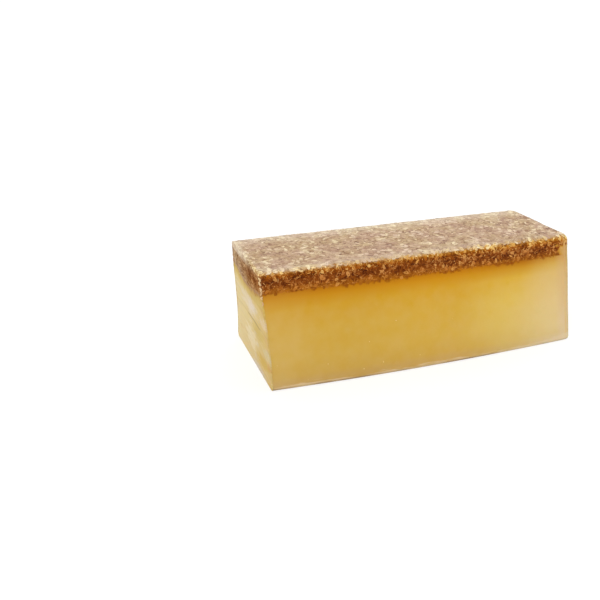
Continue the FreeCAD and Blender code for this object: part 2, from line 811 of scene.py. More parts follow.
class FlakeLie(Enum):
    """How a flake lies in the skin."""

    FLAT = FlakeCut((1.8 * MM, 3.8 * MM), (1.2 * MM, 2.4 * MM), 0.40 * MM, 0.30, 0.15, 0.15, 8)
    PRESSED = FlakeCut((3.0 * MM, 5.2 * MM), (1.9 * MM, 3.1 * MM), 0.30 * MM, 0.35, 0.10, 0.13, 8)
    ON_EDGE = FlakeCut((1.5 * MM, 3.4 * MM), (0.35 * MM, 0.75 * MM), 0.60 * MM, 0.35, 0.85, 0.10, 6)
    CRESCENT = FlakeCut((2.2 * MM, 3.0 * MM), (0.90 * MM, 1.35 * MM), 1.00 * MM, -0.30, 1.50, 0.10, 8)
    CRUMB = FlakeCut((0.7 * MM, 1.4 * MM), (0.5 * MM, 1.1 * MM), 0.50 * MM, 0.25, 0.10, 0.20, 6)


class SmallParts:
    """Gathers many small closed parts into one mesh, in batches that keep the operators quick."""

    BATCH = 20

    def __init__(self, marks: tuple[Mark, ...]) -> None:
        """Starts with nothing gathered.

        Args:
            marks: The values that each part carries.
        """
        self.marks = marks
        self.whole = bmesh.new()
        self.some = bmesh.new()
        self.waiting = 0

    def start(self) -> tuple[BMesh, MarkLayers]:
        """Starts a part.

        Returns:
            The batch that the part is made in, and its layers for the marks.
        """
        if self.waiting == self.BATCH:
            self.gather()
        self.waiting += 1
        floats = self.some.verts.layers.float
        layers = {mark: floats.get(mark.value) or floats.new(mark.value) for mark in self.marks}
        return self.some, layers

    def gather(self) -> None:
        """Moves the batch into the whole."""
        data = bpy.data.meshes.new("batch")
        self.some.to_mesh(data)
        self.some.free()
        self.whole.from_mesh(data)
        bpy.data.meshes.remove(data)
        self.some = bmesh.new()
        self.waiting = 0

    def finish(self) -> BMesh:
        """Ends the gathering.

        Returns:
            The whole mesh, with every batch in it.
        """
        self.gather()
        self.some.free()
        return self.whole


@dataclass(frozen=True)
class FlakeMaker:
    """Presses single oat flakes into seats on the skin.

    Each span is the least and the most that the dice give.
    """

    MARKS = (Mark.TONE, Mark.HUE, Mark.FROST)

    dice: random.Random
    tray: Tray
    upright: float | None = None
    proud: float = 0.20 * MM
    proud_share: Span = (0.4, 1.0)
    hues: Span = (0.0, 1.0)
    steps_up: int = 4
    curl_share: Span = (0.4, 1.0)
    curl_middle: float = 0.4
    taper: Span = (0.0, 0.35)
    crease: float = 0.45
    rim_tone: float = 0.14
    rim_middle: float = 0.5
    thin_tone: float = 0.30
    sink_share: Span = (0.5, 1.5)
    tip: float = 0.06

    def size(self, cut: FlakeCut) -> Vector:
        """Half lengths of one flake along, across and through the skin."""
        return Vector((self.dice.uniform(*cut.length), self.dice.uniform(*cut.width), cut.depth)) / 2

    def turn(self) -> float:
        """Way that a flake points in the skin: anyhow, or near upright where the knife dragged it.

        Returns:
            The angle from level.
        """
        if self.upright is None:
            return self.dice.uniform(0.0, math.tau)
        return math.pi / 2 + self.dice.gauss(0.0, self.upright)

    def press(self, parts: SmallParts, seat: Seat, lie: FlakeLie, tone: float) -> None:
        """Makes one flake in a seat.

        Args:
            parts: Where the flake is gathered.
            seat: Its place on the skin.
            lie: How it lies.
            tone: Its shade, 0 to 1.
        """
        cut = lie.value
        mesh, layers = parts.start()
        verts = bmesh.ops.create_uvsphere(
            mesh, u_segments=cut.sides, v_segments=self.steps_up, radius=1.0)["verts"]
        self.shape(verts, layers, cut, seat, tone)
        size = self.size(cut)
        sink = size.z * cut.sink * self.dice.uniform(*self.sink_share)
        stand = seat.normal.to_track_quat("Z", "Y").to_matrix().to_4x4()
        tip = Matrix.Rotation(self.dice.gauss(0.0, self.tip), 4, "X")
        matrix = Matrix.Translation(seat.point - seat.normal * sink) @ stand
        matrix = matrix @ Matrix.Rotation(self.turn(), 4, "Z") @ tip @ Matrix.Diagonal(size.to_4d())
        bmesh.ops.transform(mesh, matrix=matrix, verts=verts)
        proud = self.proud * self.dice.uniform(*self.proud_share)
        for vert in verts:
            vert.co = self.tray.pressed(vert.co, proud)

    def shape(self, verts: list[BMVert], layers: MarkLayers, cut: FlakeCut, seat: Seat, tone: float) -> None:
        """Shapes a ball into a flake, ragged, curled and creased as a rolled oat is, and marks it.

        Args:
            verts: The ball's corners.
            layers: Its layers for the marks.
            cut: The flake's proportions.
            seat: Its place on the skin.
            tone: Its shade, 0 to 1.
        """
        curl = cut.curl * self.dice.choice((-1.0, 1.0)) * self.dice.uniform(*self.curl_share)
        taper = self.dice.uniform(*self.taper)
        thin = self.tray.form.thin_share(seat.point)
        hue = max(self.dice.uniform(*self.hues), thin)
        tone += self.thin_tone * thin
        for vert in verts:
            along, across, up = vert.co
            from_middle = math.hypot(along, across)
            vert[layers[Mark.TONE]] = tone + self.rim_tone * (from_middle - self.rim_middle)
            vert[layers[Mark.HUE]] = hue
            vert[layers[Mark.FROST]] = seat.frost
            stretch = 1 + cut.ragged * self.dice.uniform(-1.0, 1.0)
            up *= 1 - self.crease * (1 - abs(across))
            bend = curl * (along * along - self.curl_middle)
            vert.co = Vector((along * stretch, across * stretch * (1 - taper * along) + bend, up))


@dataclass(frozen=True)
class FlakeBed:
    """One field of flakes: where they lie, how many are tried for, how far apart they stay, and in which mix.

    A share of them is pale, in the dry shades, and the others are soaked and brown. Where the knife dragged
    them they stand near upright, and the number says how much they stray from it.
    """

    name: str
    zone: Zone
    count: int
    spacing: float
    seed: int
    mix: dict[FlakeLie, float]
    pale: float
    upright: float | None = None
    soaked: Span = (0.10, 0.60)
    dry: Span = (0.55, 1.0)
    hues: Span = (0.0, 1.0)

    def tone(self, dice: random.Random) -> float:
        """Shade of one flake, either soaked and brown or pale."""
        return dice.uniform(*(self.dry if dice.random() < self.pale else self.soaked))

    def build(self, layer: Piece, tray: Tray, finish: Material) -> Piece:
        """Strews the field.

        Args:
            layer: The layer that the flakes lie in.
            tray: What pressed them flat.
            finish: Their material.

        Returns:
            The flakes as one piece.
        """
        dice = random.Random(self.seed)
        maker = FlakeMaker(dice, tray, self.upright, hues=self.hues)
        parts = SmallParts(FlakeMaker.MARKS)
        seats = SkinField(layer, self.zone).strew(self.count, self.spacing, dice)
        lies = dice.choices(list(self.mix), weights=list(self.mix.values()), k=len(seats))
        for seat, lie in zip(seats, lies):
            maker.press(parts, seat, lie, self.tone(dice))
        log.info("%s: %d flakes", self.name, len(seats))
        return dressed(self.name, parts.finish(), [finish], Slot.OATS)


@dataclass(frozen=True)
class CutEdge:
    """The upright edges of the knife cut, where the blade left curled flakes and a thin burr of soap."""

    form: LoafForm
    tray: Tray
    to_cut: float = 0.5
    flake_seed: int = 21
    flake_step: float = 2.7 * MM
    flake_gaps: Span = (0.8, 1.25)
    flake_start: float = 3.2 * MM
    flake_reach: float = 18.5 * MM
    flake_proud: float = 1.2 * MM
    flake_stray: float = 0.45
    flake_frost: float = 0.45
    flake_tones: Span = (0.95, 1.2)
    flake_hues: Span = (0.6, 1.0)
    burr_seed: int = 22
    burr_step: float = 2.6 * MM
    burr_gaps: Span = (0.6, 1.3)
    burr_lengths: Span = (0.7, 1.3)
    burr_width: float = 0.55 * MM
    burr_flatness: float = 0.6
    burr_proud: float = 0.12 * MM
    burr_ragged: float = 0.2
    burr_steps: tuple[int, int] = (8, 6)

    def seat(self, side: float, z: float, frost: float = 0.0) -> Seat:
        """Place on one of the two edges, facing out more from the wall than from the cut.

        Args:
            side: -1 for the near edge, 1 for the far edge.
            z: Its height.
            frost: How dry it is.

        Returns:
            The place.
        """
        x = self.form.cut_x(z)
        y = side * self.form.half_width(x, z)
        return Seat(Vector((x, y, z)), Vector((-self.to_cut, side, 0.0)).normalized(), frost)

    def flakes(self, finish: Material) -> Piece:
        """Curled flakes one above the other down the near edge, from the top to past the oat line.

        Args:
            finish: Their material.

        Returns:
            The flakes as one piece.
        """
        dice = random.Random(self.flake_seed)
        maker = FlakeMaker(dice, self.tray, self.flake_stray, self.flake_proud, hues=self.flake_hues)
        parts = SmallParts(FlakeMaker.MARKS)
        z = self.form.height - self.flake_start
        while z > self.form.height - self.flake_reach:
            seat = self.seat(-1.0, z, self.flake_frost)
            maker.press(parts, seat, FlakeLie.CRESCENT, dice.uniform(*self.flake_tones))
            z -= self.flake_step * dice.uniform(*self.flake_gaps)
        return dressed("cut_edge_flakes", parts.finish(), [finish], Slot.OATS)

    def burr(self, finish: Material) -> Piece:
        """Thin ragged lip of soap down each edge, below the oats.

        Args:
            finish: Its material.

        Returns:
            The burr as one piece.
        """
        dice = random.Random(self.burr_seed)
        parts = SmallParts((Mark.BELOW_OATS, Mark.DRAG))
        for side in (-1.0, 1.0):
            z = self.form.trimmed_edge + self.burr_step
            while z < self.form.oat_level:
                self.lip(parts, side, z, dice)
                z += self.burr_step * dice.uniform(*self.burr_gaps)
        return dressed("cut_edge_burr", parts.finish(), [finish], Slot.CLEAR)

    def lip(self, parts: SmallParts, side: float, z: float, dice: random.Random) -> None:
        """Makes one short length of the burr, laid along the edge.

        Args:
            parts: Where it is gathered.
            side: -1 for the near edge, 1 for the far edge.
            z: Its height.
            dice: Seeded source of chance.
        """
        mesh, layers = parts.start()
        around, up = self.burr_steps
        verts = bmesh.ops.create_uvsphere(mesh, u_segments=around, v_segments=up, radius=1.0)["verts"]
        width = self.burr_width
        half = Vector((width, width * self.burr_flatness, self.burr_step * dice.uniform(*self.burr_lengths)))
        across = Vector((side, 1.0, 0.0)).normalized()
        for vert in verts:
            point = vert.co * (1 + self.burr_ragged * dice.uniform(-1.0, 1.0)) * half
            seat = self.seat(side, z + point.z)
            vert.co = seat.point + across * point.x + seat.normal * (point.y + self.burr_proud - half.y)
            vert[layers[Mark.BELOW_OATS]] = self.form.oat_level - vert.co.z


@dataclass(frozen=True)
class Bubbles:
    """Small air bubbles that stand in the clear soap's skin, low on the walls."""

    zone: Zone
    seed: int = 31
    count: int = 26
    spacing: float = 3 * MM
    least: float = 0.20 * MM
    most: float = 0.60 * MM
    stretch: float = 1.5
    sink: float = 0.7

    def build(self, layer: Piece, finish: Material) -> Piece:
        """Strews the bubbles.

        Args:
            layer: The clear layer.
            finish: Their material.

        Returns:
            The bubbles as one piece.
        """
        dice = random.Random(self.seed)
        parts = SmallParts(())
        for seat in SkinField(layer, self.zone).strew(self.count, self.spacing, dice):
            mesh, _ = parts.start()
            radius = between(self.least, self.most, dice.random() ** 2)
            centre = Matrix.Translation(seat.point - seat.normal * radius * self.sink)
            tall = Matrix.Diagonal((1.0, 1.0, self.stretch, 1.0))
            bmesh.ops.create_icosphere(mesh, subdivisions=2, radius=radius, matrix=centre @ tall)
        return dressed("soap_bubbles", parts.finish(), [finish], Slot.CLEAR)


class Tree:
    """A node tree, with short calls that add nodes and join them."""

    def __init__(self, tree: bpy.types.NodeTree) -> None:
        """Takes a tree.

        Args:
            tree: The node tree of a material or of the world.
        """
        self.tree = tree

    def node(self, kind: str, **settings: str) -> bpy.types.ShaderNode:
        """New shader node.

        Args:
            kind: The node's type, without the word ShaderNode before it.
            **settings: What to set on it.

        Returns:
            The node.
        """
        made = self.tree.nodes.new(f"ShaderNode{kind}")
        for key, value in settings.items():
            setattr(made, key, value)
        return made

    def join(self, source: Source, target: Socket) -> None:
        """Feeds a socket.

        Args:
            source: Another socket, or a plain value.
            target: What it feeds.
        """
        if isinstance(source, Socket):
            self.tree.links.new(source, target)
        else:
            target.default_value = source

    def maths(self, kind: str, first: Source, second: Source) -> Socket:
        """Result of two values by a Math node.

        Args:
            kind: The node's operation, such as SUBTRACT.
            first: A socket or a number.
            second: Another.

        Returns:
            The result.
        """
        made = self.node("Math", operation=kind)
        self.join(first, made.inputs[0])
        self.join(second, made.inputs[1])
        return made.outputs[0]

    def plus(self, first: Source, second: Source) -> Socket:
        """Sum of two values."""
        return self.maths("ADD", first, second)

    def times(self, first: Source, second: Source) -> Socket:
        """Product of two values."""
        return self.maths("MULTIPLY", first, second)

    def seen(self) -> Socket:
        """Value that tells what the camera sees, straight, mirrored or through glass, from lighting.

        Returns:
            1 for what is seen and 0 for lighting.
        """
        path = self.node("LightPath").outputs
        seen = self.maths("MAXIMUM", path["Is Camera Ray"], path["Is Glossy Ray"])
        return self.maths("MAXIMUM", seen, path["Is Transmission Ray"])


class Recipe(Tree):
    """A material's node tree round one Principled shader, with one short call for each kind of pattern."""

    SOAP_IOR = 1.47

    def __init__(self, name: str) -> None:
        """Starts a material with its shader and its output.

        Args:
            name: The material's name.
        """
        self.material = bpy.data.materials.new(name)
        self.material.use_nodes = True
        super().__init__(self.material.node_tree)
        self.tree.nodes.clear()
        self.shader = self.node("BsdfPrincipled")
        self.join(self.shader.outputs["BSDF"], self.node("OutputMaterial").inputs["Surface"])
        self.here = self.node("TexCoord").outputs["Object"]

    def mark(self, mark: Mark) -> Socket:
        """Value that the mesh carries."""
        return self.node("Attribute", attribute_name=mark.value).outputs["Fac"]

    def axis(self, name: str) -> Socket:
        """One coordinate of the point.

        Args:
            name: X, Y or Z.

        Returns:
            The coordinate.
        """
        split = self.node("SeparateXYZ")
        self.join(self.here, split.inputs[0])
        return split.outputs[name]

    def stretched(self, scale: Triple, turn: Triple = (0.0, 0.0, 0.0)) -> Socket:
        """Point turned and then scaled, for patterns with a grain.

        Args:
            scale: Size of the pattern along each axis.
            turn: Its turn about each axis.

        Returns:
            The point to give to a pattern.
        """
        mapping = self.node("Mapping", vector_type="TEXTURE")
        self.join(self.here, mapping.inputs["Vector"])
        mapping.inputs["Rotation"].default_value = turn
        mapping.inputs["Scale"].default_value = scale
        return mapping.outputs["Vector"]

    def cloud(self, size: float, detail: float = 2.0, at: Socket | None = None, rough: float = 0.5) -> Socket:
        """Soft cloudy value.

        Args:
            size: Size of the clouds.
            detail: How many finer layers they have.
            at: The point, where it isn't the piece's own.
            rough: How strong the finer layers are.

        Returns:
            The value, 0 to 1.
        """
        made = self.node("TexNoise")
        self.join(at or self.here, made.inputs["Vector"])
        for key, number in zip(("Scale", "Detail", "Roughness"), (1 / size, detail, rough)):
            made.inputs[key].default_value = number
        return made.outputs["Fac"]

    def uneven(self, cloud: Socket, low: float, high: float, reach: float = 0.2) -> Socket:
        """Value that drifts between two limits with a cloud.

        Args:
            cloud: A cloudy value.
            low: One limit.
            high: The other.
            reach: How far from its middle the cloud meets the limits.

        Returns:
            The value.
        """
        return self.line(cloud, 0.5 - reach, 0.5 + reach, low, high)

    def grains(self, size: float, at: Socket) -> tuple[Socket, Socket]:
        """Packed grains.

        Args:
            size: Size of the grains.
            at: The point to give to the pattern.

        Returns:
            Each grain's own value, and the distance from its middle in grain sizes.
        """
        made = self.node("TexVoronoi")
        self.join(at, made.inputs["Vector"])
        made.inputs["Scale"].default_value = 1 / size
        split = self.node("SeparateColor")
        self.join(made.outputs["Color"], split.inputs[0])
        return split.outputs[0], made.outputs["Distance"]

    def span(
        self, value: Socket, low: float, high: float, to_low: float = 0.0, to_high: float = 1.0,
    ) -> Socket:
        """Smooth step of a value onto another range.

        Args:
            value: The value.
            low: Where the step starts.
            high: Where it ends.
            to_low: Result at its start.
            to_high: Result at its end.

        Returns:
            The result.
        """
        made = self.node("MapRange", interpolation_type="SMOOTHSTEP")
        for key, number in zip(("From Min", "From Max", "To Min", "To Max"), (low, high, to_low, to_high)):
            made.inputs[key].default_value = number
        self.join(value, made.inputs["Value"])
        return made.outputs["Result"]

    def line(
        self, value: Socket, low: float, high: float, to_low: float = 0.0, to_high: float = 1.0,
    ) -> Socket:
        """Straight map of a value onto another range, held at its ends.

        Args:
            value: The value.
            low: Where the range starts.
            high: Where it ends.
            to_low: Result at its start.
            to_high: Result at its end.

        Returns:
            The result.
        """
        made = self.span(value, low, high, to_low, to_high)
        made.node.interpolation_type = "LINEAR"
        return made

    def ramp(self, value: Socket, stops: Stops) -> Socket:
        """Colour that goes through swatches as a value goes from 0 to 1.

        Args:
            value: The value.
            stops: The swatches by their places.

        Returns:
            The colour.
        """
        made = self.node("ValToRGB")
        band = made.color_ramp
        places = sorted(stops)
        band.elements[0].position = places[0]
        band.elements[1].position = places[-1]
        for place in places[1:-1]:
            band.elements.new(place)
        for element, place in zip(band.elements, places):
            element.color = swatch(*stops[place])
        self.join(value, made.inputs["Fac"])
        return made.outputs["Color"]

    def blend(self, share: Source, first: Source, second: Source, kind: str = "MIX") -> Socket:
        """Mix of two colours.

        Args:
            share: Share of the second, 0 to 1.
            first: A colour or its socket.
            second: Another.
            kind: The Mix node's way of mixing.

        Returns:
            The colour.
        """
        made = self.node("Mix", data_type="RGBA", blend_type=kind)
        # A Mix node's colour sockets share their names with its other ones, so they go by number.
        for index, source in ((0, share), (6, first), (7, second)):
            self.join(source, made.inputs[index])
        return made.outputs[2]

    def relief(self, height: Socket, depth: float, under: Socket | None = None) -> Socket:
        """Normal of a bump, over another bump if there is one.

        Args:
            height: The bump's height, 0 to 1.
            depth: What a height of 1 stands for.
            under: Normal of the other bump.

        Returns:
            The normal.
        """
        made = self.node("Bump")
        made.inputs["Distance"].default_value = depth
        self.join(height, made.inputs["Height"])
        if under:
            self.join(under, made.inputs["Normal"])
        return made.outputs["Normal"]

    def finish(self, **values: Source) -> Material:
        """Sets or feeds the shader's sockets as soap needs them.

        Args:
            **values: Values or sockets by the shader's own names, with underscores for spaces.

        Returns:
            The material.
        """
        names = {socket.name.lower().replace(" ", "_"): socket for socket in self.shader.inputs}
        for key, value in {"ior": self.SOAP_IOR, **values}.items():
            self.join(value, names[key])
        return self.material


@dataclass(frozen=True)
class Drift:
    """Value that wanders between two limits with a soft cloud."""

    size: float
    low: float
    high: float
    detail: float = 2.0
    reach: float = 0.2

    def value(self, r: Recipe) -> Socket:
        """Wandering value, for a material."""
        return r.uneven(r.cloud(self.size, self.detail), self.low, self.high, self.reach)


@dataclass(frozen=True)
class Streaks:
    """Cloud drawn out along one way, which may lean."""

    size: Triple
    detail: float = 4.0
    rough: float = 0.6
    lean: float = 0.0

    def value(self, r: Recipe) -> Socket:
        """Cloudy value from 0 to 1, for a material."""
        return r.cloud(1.0, self.detail, r.stretched(self.size, (self.lean, 0.0, 0.0)), self.rough)


@dataclass(frozen=True)
class Wash:
    """Tint laid where a pattern goes from one value to another, up to a share."""

    start: float
    full: float
    share: float
    tint: Colour

    def over(self, r: Recipe, colour: Socket, pattern: Socket) -> Socket:
        """Colour with the wash over it."""
        return r.blend(r.span(pattern, self.start, self.full, 0.0, self.share), colour, self.tint)


@dataclass(frozen=True)
class Stripe:
    """Upright stripe that light draws in a clear cast corner.

    It has the places round the corner where it starts, is fullest and ends, and its tints by the oats and
    further down.
    """

    start: float
    middle: float
    end: float
    by_oats: Colour
    below: Colour
    change: Span = (-4 * MM, 28 * MM)

    def over(self, r: Recipe, colour: Socket) -> Socket:
        """Lays the stripe over a colour.

        Args:
            r: The material that it is for.
            colour: Colour under the stripe.

        Returns:
            The colour with the stripe.
        """
        way = r.mark(Mark.CORNER)
        share = r.times(r.span(way, self.start, self.middle), r.span(way, self.end, self.middle))
        tint = r.blend(r.span(r.mark(Mark.BELOW_OATS), *self.change), self.by_oats, self.below)
        return r.blend(share, colour, tint)


# How far red, green and blue light stray in clear soap, as shares of its scatter scale.
HONEY_SCATTER: Triple = (1.0, 0.55, 0.20)

CORNER_STRIPES = (
    Stripe(0.00, 0.12, 0.28, swatch(208, 164, 102), swatch(216, 184, 128)),
    Stripe(0.24, 0.42, 0.62, swatch(200, 164, 80), swatch(208, 178, 104)),
    Stripe(0.55, 0.72, 0.95, swatch(212, 174, 112), swatch(222, 192, 148)),
)


@dataclass(frozen=True)
class ClearSoapFinish:
    """Clear honey-coloured soap as cast, its own honey colour overlaid with painted light and shade: painted
    shade of the oat layer makes it deep amber under the oats and golden lower down, and painted light coming
    through makes it paler towards the cast end.

    The three ramps go from the oat line down through a depth: over most of the loaf, nearer the cast end, and
    at it. The spans are places along the loaf where no other measure is named.
    """

    # The three ramps paint the shade that the oat layer casts into the soap: deepest amber at the oat line,
    # golden further down.
    GOLDEN = {
        0.0: (182, 108, 12), 0.03: (192, 124, 16), 0.08: (201, 140, 22), 0.19: (207, 157, 40),
        0.42: (208, 166, 62), 0.72: (206, 167, 70), 0.90: (200, 161, 71), 0.97: (195, 157, 84),
    }
    YELLOW = {
        0.0: (168, 96, 12), 0.03: (182, 116, 20), 0.08: (199, 143, 34), 0.19: (214, 171, 62),
        0.42: (217, 183, 86), 0.72: (214, 183, 96), 0.90: (207, 175, 92), 0.97: (202, 171, 102),
    }
    PALE = {
        0.0: (200, 146, 58), 0.03: (205, 158, 72), 0.08: (210, 172, 88), 0.19: (216, 183, 114),
        0.48: (220, 191, 130), 0.80: (218, 193, 136), 0.90: (214, 188, 131), 0.97: (213, 189, 146),
    }

    form: LoafForm
    depth: float = 55 * MM
    drift: Drift = Drift(40 * MM, -5 * MM, 5 * MM, detail=1.0)
    to_yellow: Span = (12 * MM, 56 * MM)
    # Painted light: the soap turns paler towards the cast end, where light comes through it.
    to_pale: Span = (52 * MM, 88 * MM)
    pale_lag: float = 7 * MM
    lag_depth: Span = (14 * MM, 2 * MM)
    by_cut: Span = (-60 * MM, -95 * MM)
    by_cut_share: float = 0.20
    shaded: Span = (0.0, -50 * MM)
    shade: Colour = swatch(249, 249, 251)
    # Painted shade on the long walls just before the cast end's corners, paler and pinker low down.
    end_shade_height: Span = (34 * MM, 10 * MM)
    end_shade_before_end: Span = (13 * MM, 7 * MM)
    end_shade_share: float = 0.35
    end_shade_tints: tuple[Colour, Colour] = (swatch(208, 166, 124), swatch(216, 190, 168))
    fuzz_depth: Span = (1.7 * MM, -0.6 * MM)
    fuzz_edge: Drift = Drift(2.2 * MM, -1.0 * MM, 1.1 * MM, reach=0.15)
    fuzz_sway: Drift = Drift(12 * MM, -0.9 * MM, 0.9 * MM, detail=1.0, reach=0.15)
    fuzz_share: float = 0.85
    fuzz_clear: Span = (0.7, 0.1)
    fuzz_tint: Colour = swatch(136, 68, 8)
    haze: Drift = Drift(7 * MM, 0.0, 0.06, detail=3.0)
    haze_depth: Span = (2 * MM, 14 * MM)
    haze_tint: Colour = swatch(236, 220, 180)
    scraped_streaks: Streaks = Streaks((9 * MM, 9 * MM, 0.9 * MM), detail=3.0, rough=0.5)
    scraped_stray: Span = (-1.1 * MM, 1.1 * MM)
    scraped_wide: Span = (70 * MM, 96 * MM)
    scraped_wider: float = 2.5 * MM
    scraped_edge: Span = (2.2, 1.0)
    scraped_share: float = 0.6
    scraped_tint: Colour = swatch(222, 200, 164)
    scraped_satin: float = 0.2
    foot_change: Span = (24 * MM, 62 * MM)
    foot_tints: tuple[Colour, Colour] = (swatch(126, 94, 52), swatch(186, 166, 134))
    foot_edge: Span = (1.3, 0.8)
    foot_faint: Drift = Drift(16 * MM, 0.25, 0.70, reach=0.12)
    satin: Drift = Drift(9 * MM, 0.24, 0.38, detail=3.0)
    dimple_size: float = 5 * MM
    dimple_depth: float = 0.10 * MM
    pore_size: float = 1.1 * MM
    pore_depth: float = 0.02 * MM
    gloss: float = 0.06
    scatter: float = 0.25
    scatter_reach: float = 4 * MM

    def build(self) -> Material:
        """Material of the clear soap's cast faces.

        Returns:
            The material.
        """
        r = Recipe("clear_soap_cast")
        below = r.mark(Mark.BELOW_OATS)
        along = r.plus(r.axis("X"), self.drift.value(r))
        colour = self.body(r, below, along)
        fuzz = r.times(self.amber_fuzz(r, below), r.span(r.mark(Mark.CLEAR), *self.fuzz_clear))
        colour = r.blend(fuzz, colour, self.fuzz_tint)
        for stripe in CORNER_STRIPES:
            colour = stripe.over(r, colour)
        haze = r.times(self.haze.value(r), r.span(below, *self.haze_depth))
        colour = r.blend(haze, colour, self.haze_tint)
        scraped = self.scraped(r)
        colour = r.blend(scraped, colour, self.scraped_tint)
        foot_tint = r.blend(r.span(along, *self.foot_change), *self.foot_tints)
        colour = r.blend(self.foot(r), colour, foot_tint)
        satin = r.plus(self.satin.value(r), r.line(scraped, 0.0, 1.0, 0.0, self.scraped_satin))
        dimples = r.relief(r.cloud(self.dimple_size), self.dimple_depth)
        return r.finish(
            base_color=colour, roughness=satin, specular_ior_level=self.gloss,
            normal=r.relief(r.cloud(self.pore_size, 3.0), self.pore_depth, dimples),
            subsurface_weight=self.scatter, subsurface_radius=HONEY_SCATTER,
            subsurface_scale=self.scatter_reach,
        )

    def body(self, r: Recipe, below: Socket, along: Socket) -> Socket:
        """Colour in the depth of the soap, with painted light and shade: painted shade under the oats,
        painted light towards the cast end, a little painted shade towards the cut, and painted shade before
        the cast end's corners.

        Args:
            r: The material that it is for.
            below: Depth under the oat line.
            along: Place along the loaf, with some drift.

        Returns:
            The colour.
        """
        share = r.line(below, 0.0, self.depth)
        golden, yellow, pale = (r.ramp(share, stops) for stops in (self.GOLDEN, self.YELLOW, self.PALE))
        colour = r.blend(r.span(along, *self.to_yellow), golden, yellow)
        held_back = r.maths("SUBTRACT", along, r.line(below, *self.lag_depth, 0.0, self.pale_lag))
        # Painted light: paler towards the cast end, and later close under the oats.
        colour = r.blend(r.span(held_back, *self.to_pale), colour, pale)
        colour = r.blend(r.span(along, *self.by_cut, 0.0, self.by_cut_share), colour, pale)
        colour = r.blend(r.span(along, *self.shaded), colour, self.shade, "MULTIPLY")
        # Painted shade just before the cast end's corners.
        end_shade = r.blend(r.span(r.axis("Z"), *self.end_shade_height), *self.end_shade_tints)
        return r.blend(self.by_end(r), colour, end_shade)

    def amber_fuzz(self, r: Recipe, below: Socket) -> Socket:
        """Where the oats bleed into the clear soap, with an uneven edge.

        Args:
            r: The material that it is for.
            below: Depth under the oat line.

        Returns:
            The share of brown.
        """
        wandering = r.plus(r.plus(below, self.fuzz_edge.value(r)), self.fuzz_sway.value(r))
        return r.span(wandering, *self.fuzz_depth, 0.0, self.fuzz_share)

    def by_end(self, r: Recipe) -> Socket:
        """Share of the painted shade on the long walls just before the cast end's corners.

        Args:
            r: The material that it is for.

        Returns:
            The share.
        """
        lean = r.times(r.axis("Z"), math.tan(self.form.draft))
        start, full = (self.form.end_x(0.0) - before for before in self.end_shade_before_end)
        return r.span(r.plus(r.axis("X"), lean), start, full, 0.0, self.end_shade_share)

    def scraped(self, r: Recipe) -> Socket:
        """Dull, pale look that the scraper left just above the trimmed edge, streaked along it.

        Args:
            r: The material that it is for.

        Returns:
            Its share.
        """
        start, full = (self.form.trimmed_edge * times for times in self.scraped_edge)
        stray = r.uneven(self.scraped_streaks.value(r), *self.scraped_stray)
        stray = r.plus(stray, r.span(r.axis("X"), *self.scraped_wide, 0.0, -self.scraped_wider))
        return r.span(r.plus(r.axis("Z"), stray), start, full, 0.0, self.scraped_share)

    def foot(self, r: Recipe) -> Socket:
        """Dark line along the trimmed edge itself, where light is lost, with fainter lengths in it.

        Args:
            r: The material that it is for.

        Returns:
            Its share.
        """
        start, full = (self.form.trimmed_edge * times for times in self.foot_edge)
        return r.times(r.span(r.axis("Z"), start, full), self.foot_faint.value(r))


@dataclass(frozen=True)
class Patch:
    """A soft patch on the cut face, where the blade smeared or polished the soap.

    Its middle and its reaches across and up are in millimetres.
    """

    y: float
    z: float
    reach_y: float
    reach_z: float
    tint: Swatch
    share: float
    fade: Span = (0.95, 0.05)

    def over(self, r: Recipe, colour: Socket, wander: Socket) -> Socket:
        """Lays the patch over a colour.

        Args:
            r: The material that it is for.
            colour: Colour under the patch.
            wander: Value from -1 to 1 that makes its edge uneven.

        Returns:
            The colour with the patch.
        """
        offs = [
            r.line(r.axis(axis), (middle - reach) * MM, (middle + reach) * MM, -1.0, 1.0)
            for axis, middle, reach in (("Y", self.y, self.reach_y), ("Z", self.z, self.reach_z))
        ]
        square = r.plus(*(r.times(off, off) for off in offs))
        share = r.span(r.plus(square, wander), *self.fade, 0.0, self.share)
        return r.blend(share, colour, swatch(*self.tint))


